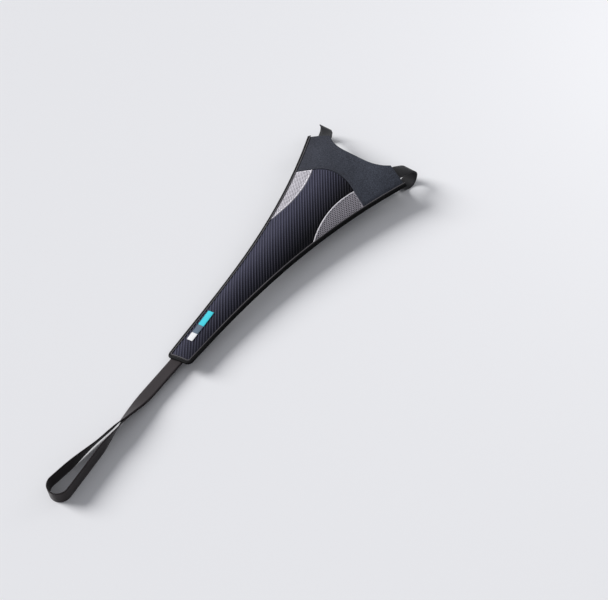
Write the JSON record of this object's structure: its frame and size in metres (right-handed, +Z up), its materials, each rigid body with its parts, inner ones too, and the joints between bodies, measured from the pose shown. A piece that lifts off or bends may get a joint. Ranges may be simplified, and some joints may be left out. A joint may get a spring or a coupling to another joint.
{
  "type": "bicycle sweat guard",
  "caption": "Tapered cloth sweat cover for a road bicycle, with two handlebar straps in front and an elastic seat post loop behind.",
  "frame": {"origin": "centre of the bounding box in X and Y, at the surface it rests on", "axes": "+Y forwards to the handlebar, +X to the rider's right, +Z up from the rest surface"},
  "size_m": [0.185, 0.7152, 0.0531],
  "materials": {
    "yoke_cloth": "soft matt knit, charcoal",
    "rib_mesh": "ribbed air mesh, near black with a blue cast",
    "grey_mesh": "open mesh, light grey",
    "lining": "thin coated lining, black",
    "edge_tape": "woven binding tape, black",
    "webbing": "flat webbing, black",
    "loop_tape": "soft loop pile, black",
    "hook_tape": "stiff hook tape, black",
    "elastic": "woven elastic, brown black",
    "label": "woven label in plain fields of turquoise, grey and white"
  },
  "bodies": {
    "root": {"lining": "lining", "mesh_panel": "rib_mesh", "side_insert_left": "grey_mesh", "side_insert_right": "grey_mesh", "yoke_panel": "yoke_cloth", "edge_tape": "edge_tape", "label": "label", "handlebar_strap_left": "webbing", "loop_pad_left": "loop_tape", "hook_pad_left": "hook_tape", "handlebar_strap_right": "webbing", "loop_pad_right": "loop_tape", "hook_pad_right": "hook_tape", "tail_strap": "elastic", "tail_loop_pad": "loop_tape", "tail_hook_pad": "hook_tape"}
  },
  "joints": []
}
